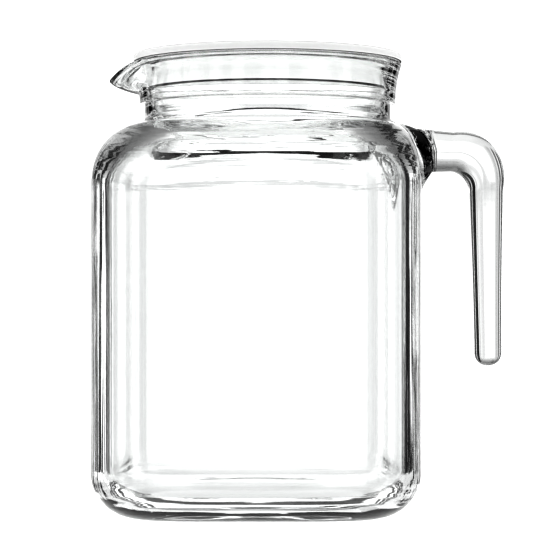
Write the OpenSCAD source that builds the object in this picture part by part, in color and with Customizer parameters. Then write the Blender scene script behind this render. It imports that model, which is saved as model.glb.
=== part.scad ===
// Square-shouldered glass pitcher with a hooked handle and a press-in plastic lid.
// Millimetres. +Z is up, +X runs from the spout to the handle, and the pitcher stands on Z = 0.

/* [Body] */
// Width of the body, from the spout side to the handle side
body_w = 134.4; // [120:0.2:150]
// Depth of the body, from the front panel to the back panel
body_d = 126; // [116:0.5:140]
// Height of the glass at the foot of the neck
body_h = 162.6; // [145:0.2:190]
// Squareness of the plan: 2 is an ellipse, higher is squarer
body_square = 5.5; // [4:0.1:8]
// Thickness of the side walls
wall_t = 4.2; // [3:0.1:6]
// Thickness of the floor
floor_t = 7; // [5:0.5:10]
// Radius between the side walls and the underside
heel_r = 18.5; // [14:0.5:22]
// Height of the curved shoulder
shoulder_h = 28.8; // [22:0.2:36]
// Radius of the shallow hollow in the underside
punt_r = 25; // [15:1:32]
// Depth of that hollow
punt_h = 1.2; // [0.5:0.1:3]

/* [Neck and mouth] */
// Outside radius of the neck
neck_r = 51.4; // [48:0.1:52]
// Height of the plain neck below the collar
neck_h = 7.4; // [4:0.2:10]
// Radius of the small curve between the shoulder and the neck
neck_fillet_r = 3.2; // [2:0.1:4]
// Thickness of the glass at the neck
neck_t = 4; // [3:0.1:5]
// How far the neck sits from the middle of the body, towards the handle
neck_shift = 4.5; // [0:0.1:8]
// Outside radius at the foot of the collar
collar_r = 53.6; // [53:0.1:55.5]
// Height of the collar, from its step up to the rim
collar_h = 17.4; // [14:0.1:24]
// Outside radius of the rim
rim_r = 56.5; // [55.5:0.1:60]
// Radius of the straight part of the mouth, where the lid plugs in
mouth_r = 49.6; // [48.5:0.1:50.5]
// How much wider the mouth is at the very top
mouth_flare = 2.2; // [1:0.1:3]

/* [Spout] */
// How far the tip of the spout stands out from the rim
spout_reach = 10.4; // [6:0.2:12]
// How far the tip of the spout lies below the rim
spout_drop = 7; // [3:0.2:9]
// Half of the angle of the rim that the spout takes
spout_half_angle = 26; // [18:1:34]

/* [Handle] */
// How far the boss that carries the handle stands out from the body
boss_reach = 6.8; // [4:0.2:10]
// Height of the handle where it is joined to the boss
root_h = 18.4; // [14:0.2:22]
// Width of the handle where it is joined to the boss
root_w = 21; // [16:0.5:26]
// How far the top of the handle lies below the foot of the neck
root_drop = 2.6; // [1:0.2:8]
// Length of the stub before the bend
stub_l = 7.8; // [6:0.2:16]
// Fall of the stub, in degrees
stub_fall = 4.4; // [0:0.2:10]
// Radius of the bend along its middle, at both ends of the bend
bend_r = 15.6; // [12:0.2:20]
// Length of the hanging leg, from the bend to the middle of its round end
leg_l = 68.6; // [55:0.2:85]
// Lean of the leg away from the body, in degrees
leg_lean = 0.6; // [0:0.1:3]
// Thickness of the leg at its end
leg_t = 11.6; // [9:0.2:15]
// Width of the leg at its end
leg_w = 15; // [11:0.5:20]

/* [Lid] */
// Thickness of the lid at its edge
lid_t = 3.4; // [2.8:0.1:5]
// How far the edge of the lid lies inside the edge of the rim
lid_inset = 0.3; // [0:0.1:1.5]
// How far the plug reaches down into the mouth
plug_l = 11.4; // [8:0.2:14]
// Thickness of the plug's skirt
plug_t = 1.8; // [1.2:0.1:3]
// Gap between the plug and the mouth, all round
plug_gap = 0.3; // [0.2:0.05:0.6]
// Depth of the dish in the top of the lid
dish_h = 1.2; // [0.4:0.1:1.6]
// Width of the raised border round that dish
dish_border = 9; // [6:0.5:16]

/* [Hidden] */

glass_colour = [0.86, 0.93, 0.92, 0.45];
lid_colour = [0.93, 0.93, 0.92];

// Small radii, and the gap under the lid
lip_round = 1.7;
collar_round = 0.7;
lid_round = 0.9;
plug_chamfer = 0.5;
seat_gap = 0.1;

// Heights of the glass, from the table up
neck_top = body_h + neck_h;
rim_z = neck_top + collar_h;
shoulder_z = body_h - shoulder_h;

// Half sizes of the body's plan, and sizes of the inside
half_w = body_w / 2;
half_d = body_d / 2;
neck_in_r = neck_r - neck_t;
inner_heel_r = heel_r - wall_t;

// Place of the joint between the boss and the handle
root_half = root_h / 2;
seam_x = half_w + boss_reach;
root_z = body_h - root_drop - root_half;

// Powers that set the fullness of the curves
round_plan = 2;
handle_square = 2.3;
shoulder_bulge = 2.2;
collar_flare_power = 2.2;
spout_power = 2.3;
spout_point_power = 1.25;
spout_drop_power = 1.5;
trough_power = 1.6;

// Shares of the collar's height where the spout, its trough and the flare of the mouth start
spout_start_share = 0.4;
trough_start_share = 0.28;
flare_start_share = 0.82;
// Shares that shape the spout: how blunt its nose is, and how deep its trough runs
spout_nose_share = 0.17;
trough_reach_share = 1.08;
// Shares of the handle's half height over which the boss runs out into the glass
boss_side_share = 0.8;
boss_top_share = 0.62;
boss_foot_share = 1.9;
// Shares that swell, bow out and taper the handle, mostly at the start of its bend
bend_swell_share = 0.13;
bend_bow_share = 0.075;
swell_start_share = 1.35;
swell_end_share = 0.45;
stub_taper_share = 0.75;
leg_taper_share = 0.4;
// Share of the leg's width that its round end keeps beside its very tip
tip_width_share = 0.001;

// Counts of the mesh
around = 76;
crowding = 0.5;
handle_sides = 24;
bend_steps = 12;
leg_steps = 8;
tip_steps = 6;

function clamp01(v) = min(1, max(0, v));
function mix(a, b, t) = a + (b - a) * t;

// Directions round the neck, closer together at the spout and at the handle
directions = [for (i = [0:around - 1]) let (t = 360 * i / around) t - crowding * sin(2 * t) * 90 / PI];

// Distance from the middle to a rounded outline of half sizes a and b
function plan_r(a, b, square, t) = pow(pow(abs(cos(t)) / a, square) + pow(abs(sin(t)) / b, square), -1 / square);

// Share of the spout's reach in a direction: 1 at its nose and 0 away from it
function spout_share(t) =
    let (off = abs(t - 180) / spout_half_angle)
    let (bare = 1 - sqrt(off * off + spout_nose_share * spout_nose_share))
    pow(clamp01(bare / (1 - spout_nose_share)), spout_point_power);

// A ring of the glass: [height, middle x, half width, half depth, squareness, spout reach, spout drop, boss]
function ring(z, x, a, b, square, reach = 0, drop = 0, boss = 0) = [z, x, a, b, square, reach, drop, boss];
function round_ring(z, r, reach = 0, drop = 0) = ring(z, neck_shift, r, r, round_plan, reach, drop);
function body_ring(z, cut, boss = 0) = ring(z, 0, half_w - cut, half_d - cut, body_square, boss = boss);

// Share of the boss at a place on the outside: 1 where the handle is joined
function boss_share(y, z) =
    let (side = y / (root_w / 2), lift = (z - root_z) / root_half)
    let (far = sqrt(side * side + lift * lift))
    let (up = far > 0 ? lift / far : 0)
    let (run = mix(boss_side_share, up > 0 ? boss_top_share : boss_foot_share, abs(up)))
    pow(clamp01(1 - max(0, far - 1) / run), 2);
function with_boss(p) = p[0] < 0 ? p : [mix(p[0], seam_x, boss_share(p[1], p[2])), p[1], p[2]];

function ring_point(r, t) =
    let (share = spout_share(t))
    let (out = plan_r(r[2], r[3], r[4], t) + r[5] * share)
    let (p = [r[1] + out * cos(t), out * sin(t), r[0] - r[6] * pow(share, spout_drop_power)])
    r[7] > 0 ? with_boss(p) : p;

// Underside: a shallow round hollow, then the flat foot
punt_shares = [0.5, 0.85, 1];
function punt_rise(s) = punt_h * (1 - pow(s, 3));
underside = [for (s = punt_shares) ring(punt_rise(s), 0, punt_r * s, punt_r * s, round_plan)];

// Heel: a quarter round from the foot up to the wall
heel = [for (t = [0:15:90]) body_ring(heel_r * (1 - cos(t)), heel_r * (1 - sin(t)))];

// Wall: rings closer together where the boss runs out
wall_shares = [0.35, 0.7, 0.85, 0.93];
wall = [for (s = wall_shares) body_ring(mix(heel_r, shoulder_z, s), 0, 1)];

// Shoulder: from the rounded square of the body to the round of the neck
shoulder_shares = [0, 0.12, 0.2, 0.28, 0.36, 0.46, 0.58, 0.7, 0.8, 0.87, 0.92, 0.95, 0.975];
shoulder_end_share = 0.975;
fillet_start = 37;
shoulder_top_r = neck_r + neck_fillet_r * (1 - sin(fillet_start));
function bare_fall(s) = pow(1 - pow(s, shoulder_bulge), 1 / shoulder_bulge);
function shoulder_fall(s) = clamp01((bare_fall(s) - bare_fall(shoulder_end_share)) / (1 - bare_fall(shoulder_end_share)));
function shoulder_ring(z, g, cut, boss) = ring(
    z, neck_shift * (1 - g), mix(shoulder_top_r, half_w, g) - cut, mix(shoulder_top_r, half_d, g) - cut,
    mix(round_plan, body_square, g), boss = boss);
shoulder = [for (s = shoulder_shares) shoulder_ring(mix(shoulder_z, body_h, s), shoulder_fall(s), 0, 1)];

// Neck: a small fillet up from the shoulder, a straight wall, then the step under the collar
neck = concat(
    [for (t = [55, 72, 90]) round_ring(
        body_h + neck_fillet_r * (cos(fillet_start) - cos(t)), neck_r + neck_fillet_r * (1 - sin(t)))],
    [round_ring(neck_top, neck_r)],
    [for (t = [0, 45]) round_ring(
        neck_top + collar_round * (1 - cos(t)), collar_r - collar_round * (1 - sin(t)))]);

// Collar: flares to the rim, and its spout side runs out to the nose of the spout
collar_shares = [0.05, 0.3, 0.42, 0.5, 0.58, 0.68, 0.8, 0.9];
function collar_radius(s) = mix(collar_r, rim_r, pow(s, collar_flare_power));
function spout_rise(s) = 1 - pow(1 - clamp01((s - spout_start_share) / (1 - spout_start_share)), spout_power);
function collar_ring(s, cut = 0) = round_ring(
    neck_top + collar_h * s, collar_radius(s) - cut, spout_reach * spout_rise(s), spout_drop * s);
collar = [for (s = collar_shares) collar_ring(s)];

// Lip: a round-over between the outside of the rim and its flat top
lip = [for (t = [25, 60, 90]) collar_ring(
    1 - lip_round * (1 - sin(t)) / collar_h, lip_round * (1 - cos(t)))];

// Mouth: flared at the top, then straight, with the trough of the spout
mouth_shares = [1, 0.96, 0.9, 0.82, 0.7, 0.58, 0.48, 0.38, 0.28, 0.15];
function mouth_radius(s) = mouth_r + mouth_flare * pow(clamp01((s - flare_start_share) / (1 - flare_start_share)), 2);
function trough_rise(s) = pow(clamp01((s - trough_start_share) / (1 - trough_start_share)), trough_power);
mouth = [for (s = mouth_shares) round_ring(
    neck_top + collar_h * s, mouth_radius(s), spout_reach * trough_reach_share * trough_rise(s), spout_drop * s)];

// Inside of the neck and the shoulder
inner_neck = [round_ring(neck_top - collar_round, neck_in_r), round_ring(body_h + collar_round, neck_in_r)];
inner_shoulder_shares = [0.9, 0.8, 0.68, 0.55, 0.4, 0.22, 0];
inner_shoulder = [for (s = inner_shoulder_shares) shoulder_ring(
    mix(shoulder_z, body_h - wall_t, s), shoulder_fall(s), wall_t, 0)];

// Inside of the wall, the heel and the floor
inner_wall_shares = [0.6, 0.2];
inner_wall = [for (s = inner_wall_shares) body_ring(mix(heel_r, shoulder_z, s), wall_t)];
inner_heel = [for (t = [90:-18:0]) body_ring(
    floor_t + inner_heel_r * (1 - cos(t)), wall_t + inner_heel_r * (1 - sin(t)))];
inner_floor = [ring(floor_t, 0, punt_r, punt_r, round_plan)];

glass_rings = concat(underside, heel, wall, shoulder, neck, collar, lip, mouth, inner_neck,
    inner_shoulder, inner_wall, inner_heel, inner_floor);
glass_points = concat(
    [[0, 0, punt_h]],
    [for (r = glass_rings) for (t = directions) ring_point(r, t)],
    [[0, 0, floor_t]]);

// Faces of a skin that starts at a point, passes through rings of points and ends at a point
function skin_faces(rings, sides) = concat(
    [for (i = [0:sides - 1]) [0, 1 + i, 1 + (i + 1) % sides]],
    [for (k = [0:rings - 2]) for (i = [0:sides - 1])
        let (a = 1 + k * sides, j = (i + 1) % sides) each [
            [a + i, a + sides + i, a + sides + j],
            [a + i, a + sides + j, a + j]]],
    [for (i = [0:sides - 1])
        let (a = 1 + (rings - 1) * sides) [a + sides, a + (i + 1) % sides, a + i]]);

// Half sizes of the handle along its length: stub, bend, then leg
tip_half = leg_t / 2;
stub_half = mix(tip_half, root_half, stub_taper_share);
leg_half = mix(tip_half, root_half, leg_taper_share);
function swell(s) = sin(180 * s) * mix(swell_start_share, swell_end_share, s);
function bend_half(s) = mix(stub_half, leg_half, s * s * s) + stub_half * bend_swell_share * swell(s);
function bend_radius(s) = bend_r * (1 + bend_bow_share * swell(s));
bend_turn = 90 - stub_fall - leg_lean;
handle_l = stub_l + bend_r * bend_turn * PI / 180 + leg_l;
function width_half(l) = mix(root_w, leg_w, clamp01(l / handle_l)) / 2;

// Middle line of the handle. A stop is [x, z, direction, half thickness, half width]
bend_x = seam_x + stub_l * cos(stub_fall) - bend_r * sin(stub_fall);
bend_z = root_z - stub_l * sin(stub_fall) - bend_r * cos(stub_fall);
leg_x = bend_x + bend_r * sin(stub_fall + bend_turn);
leg_z = bend_z + bend_r * cos(stub_fall + bend_turn);
stub_shares = [0, 0.35, 0.7];
stub_stops = [for (s = stub_shares) [
    seam_x + s * stub_l * cos(stub_fall), root_z - s * stub_l * sin(stub_fall), s * stub_fall,
    mix(root_half, stub_half, s), width_half(s * stub_l)]];
bend_stops = [for (i = [0:bend_steps]) let (s = i / bend_steps, a = stub_fall + s * bend_turn) [
    bend_x + bend_radius(s) * sin(a), bend_z + bend_radius(s) * cos(a), a,
    bend_half(s), width_half(stub_l + s * bend_r * bend_turn * PI / 180)]];
leg_stops = [for (i = [1:leg_steps]) let (s = i / leg_steps) [
    leg_x + s * leg_l * sin(leg_lean), leg_z - s * leg_l * cos(leg_lean), 90 - leg_lean,
    mix(leg_half, tip_half, sin(90 * s)), width_half(handle_l - (1 - s) * leg_l)]];
tip_stops = [for (i = [1:tip_steps - 1]) let (a = 90 * i / tip_steps, l = leg_l + tip_half * sin(a)) [
    leg_x + l * sin(leg_lean), leg_z - l * cos(leg_lean), 90 - leg_lean,
    tip_half * cos(a), leg_w / 2 * mix(cos(a), 1, tip_width_share)]];
stops = concat(stub_stops, bend_stops, leg_stops, tip_stops);

function stop_point(s, t) =
    let (out = plan_r(s[3], s[4], handle_square, t))
    [s[0] + out * cos(t) * sin(s[2]), out * sin(t), s[1] + out * cos(t) * cos(s[2])];
handle_points = concat(
    [[seam_x, 0, root_z]],
    [for (s = stops) for (i = [0:handle_sides - 1]) stop_point(s, 360 * i / handle_sides)],
    [[leg_x + (leg_l + tip_half) * sin(leg_lean), 0, leg_z - (leg_l + tip_half) * cos(leg_lean)]]);

// The origin lies on the table, in the middle of the whole pitcher's length
origin_x = (min([for (p = glass_points) p[0]]) + max([for (p = handle_points) p[0]])) / 2;

module placed() {
    translate([-origin_x, 0, 0])
        children();
}

// The glass in one piece: body, neck, collar, spout and the boss for the handle
module glass_body() {
    color(glass_colour)
        placed()
            polyhedron(glass_points, skin_faces(len(glass_rings), around), convexity = 6);
}

// The solid glass hook, joined hot to the boss on the body
module handle() {
    color(glass_colour)
        placed()
            polyhedron(handle_points, skin_faces(len(stops), handle_sides), convexity = 4);
}

// Radii of the lid, and heights above the rim
lid_r = rim_r - lid_inset;
plug_r = mouth_r - plug_gap;
plug_in_r = plug_r - plug_t;
lid_top = seat_gap + lid_t;
dish_z = lid_top - dish_h;
dish_r = lid_r - dish_border;

// Half of the lid's section, turned about its middle
module lid_section() {
    difference() {
        union() {
            // Flange with a rounded upper edge
            translate([0, seat_gap])
                square([lid_r - lid_round, lid_t]);
            translate([0, seat_gap])
                square([lid_r, lid_t - lid_round]);
            translate([lid_r - lid_round, lid_top - lid_round])
                circle(lid_round, $fn = 48);
            // Skirt of the plug, chamfered at its foot
            polygon([
                [plug_in_r, lid_top - lid_t / 2],
                [plug_in_r, plug_chamfer - plug_l],
                [plug_in_r + plug_chamfer, -plug_l],
                [plug_r - plug_chamfer, -plug_l],
                [plug_r, plug_chamfer - plug_l],
                [plug_r, lid_top - lid_t / 2]]);
        }
        // Dish in the top, with a sloping side
        polygon([
            [0, lid_top + lid_round],
            [0, dish_z],
            [dish_r, dish_z],
            [dish_r + dish_h, lid_top],
            [dish_r + dish_h, lid_top + lid_round]]);
    }
}

// The press-in lid
module lid() {
    color(lid_colour)
        placed()
            translate([neck_shift, 0, rim_z])
                rotate_extrude($fn = 160)
                    lid_section();
}

glass_body();
handle();
lid();
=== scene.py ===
import math
from dataclasses import dataclass, replace

import bmesh
import bpy
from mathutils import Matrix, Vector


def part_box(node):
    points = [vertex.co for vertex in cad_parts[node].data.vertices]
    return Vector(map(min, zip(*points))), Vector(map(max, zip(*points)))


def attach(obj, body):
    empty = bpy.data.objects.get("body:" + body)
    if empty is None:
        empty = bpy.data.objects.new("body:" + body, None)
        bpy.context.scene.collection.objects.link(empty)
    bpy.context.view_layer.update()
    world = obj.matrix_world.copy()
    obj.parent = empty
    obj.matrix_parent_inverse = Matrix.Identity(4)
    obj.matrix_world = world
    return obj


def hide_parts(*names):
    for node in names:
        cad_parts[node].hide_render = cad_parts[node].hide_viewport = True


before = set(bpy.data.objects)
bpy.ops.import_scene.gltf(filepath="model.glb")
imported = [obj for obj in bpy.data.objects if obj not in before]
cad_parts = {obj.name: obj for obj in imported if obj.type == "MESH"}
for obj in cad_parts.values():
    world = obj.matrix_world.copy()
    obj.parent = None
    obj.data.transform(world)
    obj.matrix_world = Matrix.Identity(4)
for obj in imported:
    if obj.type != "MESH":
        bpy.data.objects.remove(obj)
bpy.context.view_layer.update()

MM = 0.001
QUARTER = math.pi / 2

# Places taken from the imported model, in metres
glass_low, glass_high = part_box("glass_body")
handle_low, handle_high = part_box("handle")
lid_low, lid_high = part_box("lid")

# Body. A plan with a squareness of 2 is round, and a higher one has squarer corners.
HALF_D = (glass_high[1] - glass_low[1]) / 2
HALF_W = 67.2 * MM
BODY_X = glass_low[0] + HALF_W
BODY_H = 162.6 * MM
ROUND_PLAN = 2
BODY_SQUARE = 5.5
INNER_SQUARE = 5.0
WALL_T = 4.2 * MM
FLOOR_T = 7 * MM
HEEL_R = 18.5 * MM
SHOULDER_H = 28.8 * MM
SHOULDER_Z = BODY_H - SHOULDER_H
SHOULDER_POWER = 2.2
SHOULDER_RISE = 0.975
SHOULDER_END = math.asin(SHOULDER_RISE ** (SHOULDER_POWER / 2))
PUNT_R = 25 * MM
PUNT_H = 1.2 * MM

# Neck and mouth
NECK_X = (lid_low[0] + lid_high[0]) / 2
NECK_R = 51.4 * MM
NECK_T = 4 * MM
NECK_TOP = 170 * MM
NECK_FILLET_R = 3.2 * MM
FILLET_START = math.radians(37)
SHOULDER_TOP_R = NECK_R + NECK_FILLET_R * (1 - math.sin(FILLET_START))
STEP_FILLET = 0.5 * MM
COLLAR_R = 53.6 * MM
COLLAR_ROUND = 0.7 * MM
COLLAR_START = 0.05
COLLAR_POWER = 2.2
RIM_R = 56.5 * MM
RIM_Z = glass_high[2]
RIM_ROUND = 1 * MM
COLLAR_H = RIM_Z - NECK_TOP
LIP_ROUND = 1.7 * MM
MOUTH_R = 49.6 * MM
MOUTH_FLARE = 2.2 * MM
FLARE_START = 0.82
MOUTH_FOOT = 0.3

# The soft inside corner, where the neck turns out into the shoulder
CORNER_TOP = BODY_H + 2.2 * MM
CORNER_START = 0.8
CORNER_PULL = 0.4
CORNER_POWER = 2.05

# Spout
SPOUT_REACH = 10.4 * MM
SPOUT_DROP = 7 * MM
SPOUT_HALF_ANGLE = math.radians(26)
SPOUT_NOSE = 0.17
SPOUT_POWER = 1.25
SPOUT_START = 0.4
SPOUT_RISE_POWER = 2.3
DROP_POWER = 1.5
TROUGH_REACH = 1.08 * SPOUT_REACH
TROUGH_START = 0.28
TROUGH_POWER = 1.6

# Handle
SEAM_X = handle_low[0]
ROOT_H = 18.4 * MM
ROOT_W = handle_high[1] - handle_low[1]
ROOT_Z = BODY_H - 2.6 * MM - ROOT_H / 2
STUB_L = 7.8 * MM
STUB_FALL = math.radians(4.4)
STUB_SHARE = 0.75
BEND_R = 15.6 * MM
BEND_SWELL = 0.13
BEND_BOW = 0.075
SWELL_START, SWELL_END = 1.35, 0.45
LEG_L = 68.6 * MM
LEG_LEAN = math.radians(0.6)
LEG_T = 11.6 * MM
LEG_W = 15 * MM
LEG_SHARE = 0.4
HANDLE_SQUARE = 2.3

# Joint between the handle and the boss. The boss runs out into the wall by shares of the root's
# half size.
SEAM_GAP = 0.12 * MM
SEAM_BULGE = 1.3 * MM
SEAM_DOME = 2.6 * MM
SEAM_LEAN = 8.2 * MM
SEAM_TUCK = 1.7 * MM
LEAN_START = -0.1
TUCK_START = 0.4
BOSS_RUN_SIDE, BOSS_RUN_UP, BOSS_RUN_DOWN = 0.8, 0.62, 1.9

# Lid
LID_R = (lid_high[0] - lid_low[0]) / 2
LID_TOP = lid_high[2]
LID_SEAT = RIM_Z + 0.1 * MM
LID_EDGE = 0.9 * MM
LID_SOFT = 0.4 * MM
PLUG_R = MOUTH_R - 0.3 * MM
PLUG_T = 1.8 * MM
PLUG_FOOT = lid_low[2]
RIB_H = 0.12 * MM
RIB_HALF = 0.8 * MM
RIB_PLACES = (0.3, 0.62)
DISH_H = 1.2 * MM
DISH_R = LID_R - 9 * MM

# How finely the meshes are divided. The body's points crowd towards the spout and the handle.
BODY_SIDES = 256
BODY_CROWDING = 0.5
HANDLE_SIDES = 72
LID_SIDES = 192


def clamp01(value):
    return min(1.0, max(0.0, value))


def blend(a, b, share):
    return a + (b - a) * share


def after(value, start):
    """Share of the way that a value has gone from a start to 1."""
    return clamp01((value - start) / (1 - start))


def steps(first, last, count):
    return [blend(first, last, i / (count - 1)) for i in range(count)]


def arc(first, last, count):
    """Pairs of 1 - cos and 1 - sin along an arc, for rounded edges."""
    return [(1 - math.cos(t), 1 - math.sin(t)) for t in steps(first, last, count)]


def turns(sides):
    return [2 * math.pi * i / sides for i in range(sides)]


# Glass body

def plan_radius(half_x, half_y, square, angle):
    """Distance from the middle to a rounded outline, in a direction."""
    across = (abs(math.cos(angle)) / half_x) ** square + (abs(math.sin(angle)) / half_y) ** square
    return across ** (-1 / square)


def spout_share(angle):
    """Share of the spout's reach in a direction: 1 at its nose and 0 away from it."""
    off = abs(angle - math.pi) / SPOUT_HALF_ANGLE
    return clamp01((1 - math.hypot(off, SPOUT_NOSE)) / (1 - SPOUT_NOSE)) ** SPOUT_POWER


def on_root(y, z):
    """Place on the handle's root: 0 in its middle, and 1 or -1 at its sides, top and bottom."""
    return y / (ROOT_W / 2), (z - ROOT_Z) / (ROOT_H / 2)


def seam_face(y, z):
    """Where the joint lies: domed to the handle, leaning back at the top, tucked in at the foot."""
    side, lift = on_root(y, z)
    dome = SEAM_DOME * clamp01(side * side)
    lean = SEAM_LEAN * after(lift, LEAN_START) ** 2
    tuck = SEAM_TUCK * after(-lift, TUCK_START) ** 2
    return SEAM_X + SEAM_BULGE - dome - lean - tuck


def boss_share(y, z):
    """Share of the boss at a place on the outside: 1 where the handle is joined."""
    side, lift = on_root(y, z)
    far = math.hypot(side, lift)
    up = lift / far if far else 0
    run = blend(BOSS_RUN_SIDE, BOSS_RUN_UP if up > 0 else BOSS_RUN_DOWN, abs(up))
    return clamp01(1 - max(0, far - 1) / run) ** 2


@dataclass
class Ring:
    """One level of the glass: a rounded outline, with its share of the spout and the boss."""
    z: float
    half_x: float
    half_y: float
    x: float = BODY_X
    square: float = BODY_SQUARE
    reach: float = 0
    drop: float = 0
    boss: bool = False

    def point(self, angle):
        share = spout_share(angle)
        out = plan_radius(self.half_x, self.half_y, self.square, angle) + self.reach * share
        x = self.x + out * math.cos(angle)
        y = out * math.sin(angle)
        z = self.z - self.drop * share ** DROP_POWER
        if self.boss and x > self.x:
            x = blend(x, seam_face(y, z), boss_share(y, z))
        return x, y, z


def round_ring(z, radius, reach=0, drop=0):
    return Ring(z, radius, radius, NECK_X, ROUND_PLAN, reach, drop)


def body_ring(z, cut, square=BODY_SQUARE, boss=False):
    return Ring(z, HALF_W - cut, HALF_D - cut, BODY_X, square, boss=boss)


def foot_rings(foot, shares):
    """Flat rings between the round hollow under the base, at 0, and the foot's outline, at 1."""
    return [
        replace(foot, half_x=blend(PUNT_R, foot.half_x, s), half_y=blend(PUNT_R, foot.half_y, s),
                square=blend(ROUND_PLAN, foot.square, s))
        for s in shares]


def shoulder_shares(angle, power=SHOULDER_POWER):
    """Height share and spread share on the shoulder's curve, from the wall to the neck."""
    return math.sin(angle) ** (2 / power), math.cos(angle) ** (2 / power)


def shoulder_ring(angle, top_z, cut, square, boss=False, power=SHOULDER_POWER):
    rise, spread = shoulder_shares(angle, power)
    share = after(spread, shoulder_shares(SHOULDER_END)[1])
    return Ring(
        blend(SHOULDER_Z, top_z, rise),
        blend(SHOULDER_TOP_R, HALF_W, share) - cut,
        blend(SHOULDER_TOP_R, HALF_D, share) - cut,
        blend(NECK_X, BODY_X, share),
        blend(ROUND_PLAN, square, share), boss=boss)


def collar_ring(share, cut=0):
    """A ring on the outside of the flared collar, from its foot at 0 to the rim at 1."""
    radius = blend(COLLAR_R, RIM_R, share ** COLLAR_POWER) - cut
    rise = 1 - (1 - after(share, SPOUT_START)) ** SPOUT_RISE_POWER
    return round_ring(NECK_TOP + COLLAR_H * share, radius, SPOUT_REACH * rise, SPOUT_DROP * share)


def mouth_ring(share):
    """A ring on the inside of the collar, at the same levels as collar_ring."""
    radius = MOUTH_R + MOUTH_FLARE * after(share, FLARE_START) ** 2
    trough = TROUGH_REACH * after(share, TROUGH_START) ** TROUGH_POWER
    return round_ring(NECK_TOP + COLLAR_H * share, radius, trough, SPOUT_DROP * share)


def outside_rings():
    """The outside, from the middle of the base up to the rim."""
    # Hollow, foot, heel and wall
    hollow = [round_ring(PUNT_H * (1 - s ** 3), PUNT_R * s) for s in steps(0.1, 1, 14)]
    rings = [replace(ring, x=BODY_X) for ring in hollow]
    rings += foot_rings(body_ring(0, HEEL_R), (0.3, 0.6, 0.85))
    rings += [body_ring(HEEL_R * low, HEEL_R * cut) for low, cut in arc(0, QUARTER, 28)]
    rings += [body_ring(z, 0, boss=True) for z in steps(HEEL_R, SHOULDER_Z, 60)[1:-1]]
    # Shoulder, and the fillet that turns it up into the neck
    rings += [
        shoulder_ring(t, BODY_H, 0, BODY_SQUARE, boss=True)
        for t in steps(0, SHOULDER_END, 54)]
    rings += [
        round_ring(BODY_H + NECK_FILLET_R * (math.cos(FILLET_START) - math.cos(t)),
                   NECK_R + NECK_FILLET_R * (1 - math.sin(t)))
        for t in steps(FILLET_START, QUARTER, 8)[1:]]
    # Step out to the collar, the collar's flare and the rounded lip
    rings += [
        round_ring(NECK_TOP - STEP_FILLET * low, NECK_R + STEP_FILLET * out)
        for out, low in arc(0, QUARTER, 5)]
    rings += [
        round_ring(NECK_TOP + COLLAR_ROUND * high, COLLAR_R - COLLAR_ROUND * cut)
        for high, cut in arc(0, QUARTER, 7)]
    rings += [collar_ring(s) for s in steps(COLLAR_START, 1 - LIP_ROUND / COLLAR_H, 44)[1:]]
    rings += [
        collar_ring(1 - LIP_ROUND * low / COLLAR_H, LIP_ROUND * cut)
        for cut, low in arc(0, QUARTER, 14)[1:]]
    return rings


def eased_ring(upper, turn, lower, share):
    """A ring on the curve between two others, drawn towards the one where it turns."""
    values = []
    for name in ("z", "half_x", "half_y", "x", "square"):
        a, b, c = (getattr(ring, name) for ring in (upper, turn, lower))
        values.append(blend(blend(a, b, share), blend(b, c, share), share))
    return Ring(*values)


def inside_rings():
    """The inside, from the rim down to the middle of the floor."""
    # Rim, mouth and neck
    top = mouth_ring(1)
    rings = [
        replace(top, z=RIM_Z - RIM_ROUND * low, half_x=top.half_x + RIM_ROUND * out,
                half_y=top.half_y + RIM_ROUND * out)
        for out, low in arc(QUARTER, 0, 8)]
    rings += [mouth_ring(s) for s in steps(1 - RIM_ROUND / COLLAR_H, MOUTH_FOOT, 44)[1:]]
    neck_start = NECK_TOP + MOUTH_FOOT * COLLAR_H
    rings += [
        round_ring(blend(neck_start, CORNER_TOP, s), blend(MOUTH_R, NECK_R - NECK_T, s))
        for s in steps(0, 1, 12)[1:]]
    # Soft corner and shoulder
    shoulder = [
        shoulder_ring(t, BODY_H - WALL_T, WALL_T, INNER_SQUARE, power=CORNER_POWER)
        for t in steps(CORNER_START * SHOULDER_END, 0, 54)]
    upper, lower = rings[-1], shoulder[0]
    turn = replace(upper, z=blend(lower.z, upper.z, CORNER_PULL))
    rings += [eased_ring(upper, turn, lower, s) for s in steps(0, 1, 16)[1:-1]]
    rings += shoulder
    # Wall, heel and floor
    heel = HEEL_R - WALL_T
    rings += [
        body_ring(z, WALL_T, INNER_SQUARE)
        for z in steps(SHOULDER_Z, FLOOR_T + HEEL_R - WALL_T, 40)[1:-1]]
    rings += [
        body_ring(FLOOR_T + heel * low, WALL_T + heel * cut, INNER_SQUARE)
        for low, cut in arc(QUARTER, 0, 24)]
    rings += foot_rings(rings[-1], (0.75, 0.5, 0.25, 0))
    rings += [replace(rings[-1], half_x=PUNT_R * s, half_y=PUNT_R * s) for s in (0.7, 0.4, 0.15)]
    return rings


def skin(name, loops, first, last):
    """A closed mesh through loops of points, with a pole at each end."""
    mesh = bmesh.new()
    rows = [[mesh.verts.new(p) for p in loop] for loop in loops]
    start, end = mesh.verts.new(first), mesh.verts.new(last)
    sides = len(rows[0])
    for i in range(sides):
        j = (i + 1) % sides
        mesh.faces.new((start, rows[0][j], rows[0][i]))
        mesh.faces.new((end, rows[-1][i], rows[-1][j]))
        for low, high in zip(rows, rows[1:]):
            mesh.faces.new((low[i], low[j], high[j], high[i]))
    bmesh.ops.recalc_face_normals(mesh, faces=mesh.faces)
    for face in mesh.faces:
        face.smooth = True
    data = bpy.data.meshes.new(name)
    mesh.to_mesh(data)
    mesh.free()
    piece = bpy.data.objects.new(name, data)
    bpy.context.scene.collection.objects.link(piece)
    return piece


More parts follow.
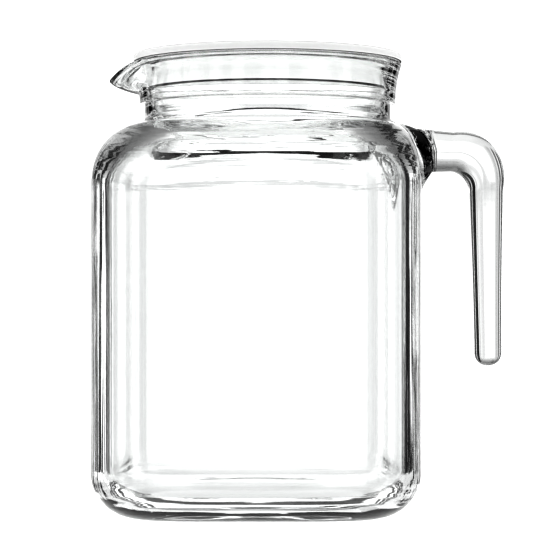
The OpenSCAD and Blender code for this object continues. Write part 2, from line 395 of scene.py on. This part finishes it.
def glass_body_piece():
    directions = [t - BODY_CROWDING * math.sin(2 * t) / 2 for t in turns(BODY_SIDES)]
    loops = [[ring.point(t) for t in directions] for ring in outside_rings() + inside_rings()]
    return skin("pitcher_glass", loops, (BODY_X, 0, PUNT_H), (BODY_X, 0, FLOOR_T))


# Handle

@dataclass
class Stop:
    """One section of the handle: its middle, its direction and its half sizes."""
    x: float
    z: float
    fall: float
    half_t: float
    half_w: float

    def point(self, angle, share=1):
        out = plan_radius(self.half_t, self.half_w, HANDLE_SQUARE, angle) * share
        lift = out * math.cos(angle)
        x = self.x + lift * math.sin(self.fall)
        return x, out * math.sin(angle), self.z + lift * math.cos(self.fall)


def handle_stops():
    """The handle's sections from the joint to near its lower end, and the point that ends it."""
    root, tip = ROOT_H / 2, LEG_T / 2
    stub, leg = blend(tip, root, STUB_SHARE), blend(tip, root, LEG_SHARE)
    turn = QUARTER - STUB_FALL - LEG_LEAN
    length = STUB_L + BEND_R * turn + LEG_L

    def half_width(run):
        return blend(ROOT_W, LEG_W, clamp01(run / length)) / 2

    # Stub
    stops = []
    for s in steps(0, 1, 14)[:-1]:
        stops.append(Stop(
            SEAM_X + s * STUB_L * math.cos(STUB_FALL), ROOT_Z - s * STUB_L * math.sin(STUB_FALL),
            s * STUB_FALL, blend(root, stub, s), half_width(s * STUB_L)))

    # Bend
    bend_x = SEAM_X + STUB_L * math.cos(STUB_FALL) - BEND_R * math.sin(STUB_FALL)
    bend_z = ROOT_Z - STUB_L * math.sin(STUB_FALL) - BEND_R * math.cos(STUB_FALL)
    for s in steps(0, 1, 44):
        angle = STUB_FALL + s * turn
        swell = math.sin(math.pi * s) * blend(SWELL_START, SWELL_END, s)
        half = blend(stub, leg, s ** 3) + stub * BEND_SWELL * swell
        radius = BEND_R * (1 + BEND_BOW * swell)
        stops.append(Stop(
            bend_x + radius * math.sin(angle), bend_z + radius * math.cos(angle), angle,
            half, half_width(STUB_L + s * BEND_R * turn)))

    # Leg
    leg_x, leg_z = stops[-1].x, stops[-1].z
    fall = QUARTER - LEG_LEAN
    for s in steps(0, 1, 48)[1:]:
        stops.append(Stop(
            leg_x + s * LEG_L * math.sin(LEG_LEAN), leg_z - s * LEG_L * math.cos(LEG_LEAN), fall,
            blend(leg, tip, math.sin(QUARTER * s)), half_width(length - (1 - s) * LEG_L)))

    # Rounded end
    for a in steps(0, QUARTER, 18)[1:-1]:
        run = LEG_L + tip * math.sin(a)
        stops.append(Stop(
            leg_x + run * math.sin(LEG_LEAN), leg_z - run * math.cos(LEG_LEAN), fall,
            tip * math.cos(a), LEG_W / 2 * math.cos(a)))
    end = LEG_L + tip
    return stops, (leg_x + end * math.sin(LEG_LEAN), 0, leg_z - end * math.cos(LEG_LEAN))


def handle_piece():
    stops, tip = handle_stops()
    loops = []
    for share in steps(0.1, 1, 10):
        loop = [stops[0].point(t, share) for t in turns(HANDLE_SIDES)]
        loops.append([(seam_face(y, z) + SEAM_GAP, y, z) for x, y, z in loop])
    for stop in stops[1:]:
        loop = [stop.point(t) for t in turns(HANDLE_SIDES)]
        near = clamp01(1 - (stop.x - SEAM_X) / STUB_L)
        loops.append([
            (x + (seam_face(y, z) + SEAM_GAP - SEAM_X) * near, y, z) for x, y, z in loop])
    return skin("hook_handle", loops, (seam_face(0, ROOT_Z) + SEAM_GAP, 0, ROOT_Z), tip)


# Lid

def lid_outline():
    """Radius and height from the top's middle, round the edge, to the underside's middle."""
    dish_z = LID_TOP - DISH_H
    inner = PLUG_R - PLUG_T
    root = 2 * LID_SOFT
    soft = arc(0, QUARTER, 6)

    # Dish, top and edge of the plate
    line = [(r, dish_z) for r in steps(2 * MM, DISH_R - 1 * MM, 10)]
    line += [(DISH_R + DISH_H * s, dish_z + DISH_H * s * s * (3 - 2 * s)) for s in steps(0, 1, 10)]
    line += [(r, LID_TOP) for r in steps(DISH_R + 2 * MM, LID_R - LID_EDGE, 5)[:-1]]
    line += [(LID_R - LID_EDGE * b, LID_TOP - LID_EDGE * a) for a, b in arc(0, QUARTER, 9)]
    line += [(LID_R - LID_SOFT * a, LID_SEAT + LID_SOFT * b) for a, b in soft]
    # Outside of the plug, with its ribs
    line += [(PLUG_R + LID_SOFT, LID_SEAT)]
    line += [(PLUG_R + LID_SOFT * b, LID_SEAT - LID_SOFT * a) for a, b in soft]
    for place in RIB_PLACES:
        z = blend(LID_SEAT, PLUG_FOOT, place)
        line += [(PLUG_R + RIB_H * math.cos(QUARTER * s), z - RIB_HALF * s) for s in steps(-1, 1, 9)]
    # Foot and inside of the plug
    line += [(PLUG_R - LID_SOFT * a, PLUG_FOOT + LID_SOFT * b) for a, b in soft]
    line += [(inner + LID_SOFT * b, PLUG_FOOT + LID_SOFT * a) for a, b in soft]
    line += [(inner - root * a, LID_SEAT - root * b) for a, b in soft]
    line += [(r, LID_SEAT) for r in steps(inner - 3 * MM, 3 * MM, 8)]
    return line


def lid_piece():
    loops = [
        [(NECK_X + r * math.cos(t), r * math.sin(t), z) for t in turns(LID_SIDES)]
        for r, z in lid_outline()]
    return skin("press_in_lid", loops, (NECK_X, 0, LID_TOP - DISH_H), (NECK_X, 0, LID_SEAT))


# Materials

class Signal:
    """A number, colour or direction inside a material, which Python's signs work on."""

    def __init__(self, tree, socket):
        self.tree = tree
        self.socket = socket

    def maths(self, operation, *values, clamp=False):
        settings = {"operation": operation, "use_clamp": clamp}
        return self.tree.make("ShaderNodeMath", settings, values)

    def __add__(self, other):
        return self.maths("ADD", self, other)

    def __sub__(self, other):
        return self.maths("SUBTRACT", self, other)

    def __rsub__(self, other):
        return self.maths("SUBTRACT", other, self)

    def __mul__(self, other):
        return self.maths("MULTIPLY", self, other)

    def __truediv__(self, other):
        return self.maths("DIVIDE", self, other)

    def __rtruediv__(self, other):
        return self.maths("DIVIDE", other, self)

    def __abs__(self):
        return self.maths("ABSOLUTE", self)

    __radd__ = __add__
    __rmul__ = __mul__

    def at_least(self, other):
        return self.maths("MAXIMUM", self, other)

    def exceeds(self, level):
        """1 where the signal is greater than a level, and 0 elsewhere."""
        return self.maths("GREATER_THAN", self, level)

    def between(self, low, high, low_result=0, high_result=1, kind="SMOOTHSTEP"):
        """Goes from one result to the other while the signal goes from low to high."""
        return self.tree.make("ShaderNodeMapRange", {"interpolation_type": kind}, {
            "Value": self, "From Min": low, "From Max": high,
            "To Min": low_result, "To Max": high_result})


class Tree:
    """The nodes of one material or of the world."""

    def __init__(self, owner):
        owner.use_nodes = True
        self.nodes = owner.node_tree.nodes
        self.links = owner.node_tree.links
        self.nodes.clear()

    def make(self, kind, settings=None, values=(), output=0):
        """Makes a node, sets its settings, then its sockets, and gives one of its outputs."""
        node = self.nodes.new(kind)
        for name, value in (settings or {}).items():
            if name == "stops":
                self.set_stops(node.color_ramp, value)
            else:
                setattr(node, name, value)
        pairs = values.items() if isinstance(values, dict) else enumerate(values)
        for name, value in pairs:
            self.feed(node.inputs[name], value)
        return Signal(self, node.outputs[output]) if node.outputs else node

    def feed(self, socket, value):
        if isinstance(value, Signal):
            self.links.new(value.socket, socket)
        else:
            socket.default_value = value

    @staticmethod
    def set_stops(ramp, stops):
        for place, _ in stops[len(ramp.elements):]:
            ramp.elements.new(place)
        for element, (place, shade) in zip(ramp.elements, stops):
            element.position = place
            element.color = (shade, shade, shade, 1)

    def parts(self, vector):
        return [
            self.make("ShaderNodeSeparateXYZ", {}, {"Vector": vector}, output=axis)
            for axis in "XYZ"]

    def noise(self, place, scale, detail, roughness):
        return self.make("ShaderNodeTexNoise", {}, {
            "Vector": place, "Scale": scale, "Detail": detail, "Roughness": roughness})

    def bump(self, strength, distance, height):
        return self.make("ShaderNodeBump", {}, {
            "Strength": strength, "Distance": distance, "Height": height})

    def surface(self, sockets):
        shader = self.make("ShaderNodeBsdfPrincipled", {}, sockets)
        self.make("ShaderNodeOutputMaterial", {}, {"Surface": shader})


def clear_glass():
    """Clear pressed glass: even on the flats, streaked at the corners and wavy at the shoulder."""
    shoulder_wave, top_wave, heel_wave = 0.45, 0.6, 0.5
    trace, broad_wave, pitting, film_roughness = 0.01, 0.1, 0.02, 0.012
    cool, clear = (0.985, 0.992, 0.99, 1), (0.995, 0.998, 0.997, 1)

    material = bpy.data.materials.new("clear_pressed_glass")
    tree = Tree(material)
    place = tree.make("ShaderNodeTexCoord", output="Object")
    x, y, z = tree.parts(place)

    def noise(stretch, detail, roughness=0.5):
        stretched = tree.make("ShaderNodeMapping", {}, {"Vector": place, "Scale": stretch})
        return tree.noise(stretched, 1, detail, roughness)

    # Upright streaks at the front corners, below the shoulder, and a trace of them everywhere
    at_corner = abs(x - BODY_X).between(57 * MM, 63 * MM) * abs(y).between(30 * MM, 50 * MM)
    below_shoulder = z.between(128 * MM, 145 * MM, 1, 0)
    in_front = y.between(-20 * MM, 0, 1, 0)
    drawn = noise((240, 240, 6), 2) * (at_corner * below_shoulder * in_front + trace)

    # Level waves at the shoulder and the heel, which end at the neck and before the handle
    rising = z.between(126 * MM, 142 * MM) * shoulder_wave
    rising = rising + z.between(149 * MM, 154 * MM) * top_wave
    shoulder = rising - z.between(160 * MM, 164 * MM) * (shoulder_wave + top_wave)
    heel = z.between(12 * MM, 20 * MM, 1, 0) * heel_wave
    on_body = x.between(SEAM_X - 9 * MM, SEAM_X - 3 * MM, 1, 0)
    rolled = noise((12, 12, 230), 2) * on_body * (shoulder + heel)

    broad = noise((34, 34, 12), 2, 0.4) * 0.5
    fine = noise((260, 260, 260), 1) * pitting
    bump = tree.bump(1.0, 0.6 * MM, drawn + rolled + broad * broad_wave + fine)
    smudge = noise((22, 22, 22), 5, 0.62)
    film = tree.make("ShaderNodeValToRGB", {"stops": [(0.55, 0), (0.8, 1)]}, {"Fac": smudge})
    tint = tree.make("ShaderNodeMix", {"data_type": "RGBA"}, {0: broad, 6: cool, 7: clear}, output=2)
    tree.surface({
        "Base Color": tint, "Roughness": film * film_roughness, "Normal": bump,
        "IOR": 1.52, "Transmission Weight": 1.0})
    return material


def lid_plastic():
    """Pale frosted plastic that light soaks through, with painted shade: the plate is painted greyer
    than the thin plug.
    """
    plug_shade, plate_painted_shade, cloud_share = 0.77, -0.14, 0.03
    top_painted_shade, foot_painted_shadow, seat_painted_shadow = 0.35, 0.95, 0.97
    least_rough, grain_rough = 0.5, 0.2

    material = bpy.data.materials.new("pale_moulded_plastic")
    tree = Tree(material)
    place = tree.make("ShaderNodeTexCoord", output="Object")
    x, y, z = tree.parts(place)
    grain = tree.noise(place, 900, 3, 0.6)
    cloud = tree.noise(place, 30, 4, 0.5)
    bump = tree.bump(0.15, 0.4 * MM, grain + cloud * 0.5)
    far = (x - NECK_X) * (x - NECK_X) + y * y

    def above(low, high):
        return z.between(low, high, kind="LINEAR")

    def outside(radius):
        return far.exceeds(radius ** 2)

    # Painted shade round the top edge, and painted shadow under the plate's edge and round the plug's
    # foot, as thin dark lines
    # Painted shade: a dark line along the rounded top edge
    top_shade_line = above(LID_TOP - 0.5 * MM, LID_TOP - 0.2 * MM) * outside(LID_R - 1.2 * MM)
    # Painted shadow: a dark line round the plug's foot
    foot_shadow_line = 1 - above(PLUG_FOOT + 0.55 * MM, PLUG_FOOT + 0.65 * MM)
    # Painted shadow: a dark line under the plate's edge, where it sits on the glass rim
    seat_shadow_line = (1 - above(LID_SEAT + 0.12 * MM, LID_SEAT + 0.25 * MM)) * outside(LID_R - 0.7 * MM)

    # Painted shade: the plate is painted darker than the plug, standing in for less light soaking
    # through it
    plate = above(LID_SEAT - 0.2 * MM, LID_SEAT)
    shade = plate * plate_painted_shade + cloud * cloud_share + plug_shade
    shade = shade * (1 - top_shade_line * top_painted_shade) * (1 - foot_shadow_line * foot_painted_shadow)
    shade = shade * (1 - seat_shadow_line * seat_painted_shadow)
    colour = tree.make("ShaderNodeCombineColor", {}, {
        "Red": shade, "Green": shade * 1.003, "Blue": shade})
    tree.surface({
        "Base Color": colour, "Roughness": grain * grain_rough + least_rough, "Normal": bump,
        "IOR": 1.46, "Specular IOR Level": 0.3, "Subsurface Weight": 1.0,
        "Subsurface Radius": (1.0, 1.0, 1.0), "Subsurface Scale": 3 * MM})
    return material


def table_top():
    """A white light table: it glows a little, so the pitcher leaves only a faint shade on it."""
    material = bpy.data.materials.new("white_light_table")
    Tree(material).surface({
        "Base Color": (0.85, 0.85, 0.85, 1), "Roughness": 1.0, "Specular IOR Level": 0.0,
        "Emission Color": (1, 1, 1, 1), "Emission Strength": 0.7})
    return material


# Studio

# Where the dark panels stand, in degrees round from straight behind the pitcher, and how dark
# they are. A colour ramp holds 32 stops at most, so they are in three lists.
PANELS_FRONT_LEFT = [
    (-180, 0.3), (-172, 0.9), (-160, 0.9), (-157, 0), (-150, 0), (-147, 0.95), (-138, 0.95),
    (-135, 0), (-130, 0), (-127, 0.95), (-119, 0.95), (-116, 0.45), (-106, 0.4), (-103, 0)]
PANELS_LEFT_BACK = [
    (-102, 0), (-100, 0.97), (-67, 0.97), (-64, 0.3), (-62, 0), (-58, 0), (-56, 0.98), (-49, 0.98),
    (-47, 0.1), (-45, 0.1), (-43, 0.98), (-33, 0.98), (-31, 0.1), (-29, 0.1), (-27.5, 0.85),
    (-24, 0.85), (-22, 0.1), (-20, 0.53), (-17, 0.5), (-13, 0.34), (-9, 0), (9, 0), (12, 0.34),
    (16, 0.37), (20, 0.25), (23, 0.25), (24, 0.5), (25.5, 0.5), (26, 0)]
PANELS_RIGHT = [
    (27, 0), (28, 0.98), (37, 0.98), (38, 0), (39, 0), (40, 0.98), (48, 0.98), (50, 0), (56, 0),
    (60, 0.97), (100, 0.97), (103, 0), (108, 0), (111, 0.9), (120, 0.9), (123, 0.45), (147, 0.45),
    (150, 0.9), (160, 0.9), (163, 0), (170, 0), (173, 0.6), (180, 0.3)]
# Dark rings, by the height of a direction, from 0 straight down to 1 straight up
RINGS = [
    (0, 0.5), (0.018, 0), (0.026, 0), (0.032, 0.9), (0.07, 0.9), (0.085, 0), (0.128, 0),
    (0.137, 0.9), (0.147, 0.9), (0.153, 0), (0.16, 0), (0.168, 0.9), (0.18, 0.9), (0.187, 0.1),
    (0.193, 0.85), (0.212, 0.85), (0.222, 0.36), (0.36, 0.31), (0.42, 0), (0.527, 0),
    (0.537, 0.38), (0.546, 0.38), (0.553, 0), (0.61, 0), (0.63, 0.3), (0.665, 0.45), (0.73, 0.68),
    (0.79, 0.85), (0.88, 0.75), (0.93, 0.6), (0.955, 0.3), (0.97, 0)]
# Clear places in the panels and rings, by turn and height in degrees: they lie straight behind the
# glass when it is seen from other sides than the photograph's
CLEAR_PLACES = [(-45, -25), (-90, -3), (-90, -16), (135, -15)]
CLEAR_CORE, CLEAR_EDGE = 7.5, 10.5
STUDIO_GLOW = 1.4


def turned_stops(stops):
    """Stops by angle, from -180 to 180 degrees, as stops from 0 to 1."""
    return [((angle + 180) / 360, shade) for angle, shade in stops]


def studio_world():
    """White for the camera and for matt surfaces. Glass and gloss find dark panels and rings in it."""
    world = bpy.data.worlds.new("white_studio")
    bpy.context.scene.world = world
    world.cycles.sampling_method = "NONE"
    tree = Tree(world)
    direction = tree.make("ShaderNodeTexCoord", output="Generated")
    x, y, z = tree.parts(direction)
    turn = x.maths("ARCTAN2", x, y) / (2 * math.pi) + 0.5

    def ramp(stops, signal):
        return tree.make("ShaderNodeValToRGB", {"stops": stops}, {"Fac": signal})

    def clear_place(azimuth, elevation):
        """1 near a direction, and 0 away from it."""
        a, e = math.radians(azimuth), math.radians(elevation)
        towards = (math.sin(a) * math.cos(e), math.cos(a) * math.cos(e), math.sin(e))
        near = tree.make(
            "ShaderNodeVectorMath", {"operation": "DOT_PRODUCT"}, (direction, towards),
            output="Value")
        return near.between(math.cos(math.radians(CLEAR_EDGE)), math.cos(math.radians(CLEAR_CORE)))

    front_left, left_back, right = (
        ramp(turned_stops(stops), turn)
        for stops in (PANELS_FRONT_LEFT, PANELS_LEFT_BACK, PANELS_RIGHT))
    standing = z.between(0.58, 0.82, 1, 0) * z.between(-0.45, -0.28)
    dark = ((front_left + left_back + right) * standing).at_least(ramp(RINGS, z * 0.5 + 0.5))
    for place in CLEAR_PLACES:
        dark = dark * (1 - clear_place(*place))

    camera_ray = tree.make("ShaderNodeLightPath", output="Is Camera Ray")
    matt_ray = tree.make("ShaderNodeLightPath", output="Diffuse Depth")
    plain = camera_ray.maths("ADD", camera_ray, matt_ray, clamp=True)
    shade = 1 - dark * (1 - plain)
    glow = tree.make("ShaderNodeBackground", {}, {
        "Color": (1, 1, 1, 1), "Strength": shade * STUDIO_GLOW})
    tree.make("ShaderNodeOutputWorld", {}, {"Surface": glow})


def stage_floor():
    """A small round table top just under the pitcher, which isn't seen through the glass."""
    bpy.ops.mesh.primitive_circle_add(
        vertices=96, radius=100 * MM, fill_type="NGON", location=(0, 0, -0.2 * MM))
    floor = bpy.context.object
    floor.name = "table_top"
    floor.data.materials.append(table_top())
    floor.visible_transmission = False


def photo_camera():
    """The camera that took the photograph, fitted to the lid's ellipse and the pitcher's outline."""
    focal_px, frame_px, sensor_mm, rise_px = 2100, 550, 36, 4.5
    metres_per_px = 0.42 * MM
    data = bpy.data.cameras.new("photo_camera")
    data.sensor_width = sensor_mm
    data.lens = sensor_mm * focal_px / frame_px
    data.shift_y = rise_px / frame_px
    camera = bpy.data.objects.new("photo_camera", data)
    camera.location = (BODY_X + 7.6 * MM, -focal_px * metres_per_px, 96.7 * MM)
    camera.rotation_euler = (QUARTER, 0, 0)
    bpy.context.scene.collection.objects.link(camera)
    bpy.context.scene.camera = camera


def render_settings():
    """Hard contrast, and enough bounces for light to get through the walls of the glass."""
    scene = bpy.context.scene
    scene.view_settings.view_transform = "Standard"
    scene.view_settings.gamma = 0.6
    scene.cycles.blur_glossy = 0.0
    scene.cycles.max_bounces = 24
    scene.cycles.diffuse_bounces = 12
    scene.cycles.transmission_bounces = 20
    scene.cycles.glossy_bounces = 8
    scene.cycles.transparent_max_bounces = 16
    scene.cycles.use_denoising = True


def finish_piece(piece, body, node, material):
    """Gives a piece its material, attaches it to what it moves with, and hides the model's part that
    it takes the place of.
    """
    piece.data.materials.append(material)
    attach(piece, body)
    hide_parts(node)


glass = clear_glass()
body = glass_body_piece()
hook = handle_piece()
lid = lid_piece()
finish_piece(body, "jug", "glass_body", glass)
finish_piece(hook, "jug", "handle", glass)
finish_piece(lid, "lid", "lid", lid_plastic())
# Clear glass throws no dark shadow on the light table
body.visible_shadow = False
hook.visible_shadow = False

studio_world()
stage_floor()
photo_camera()
render_settings()
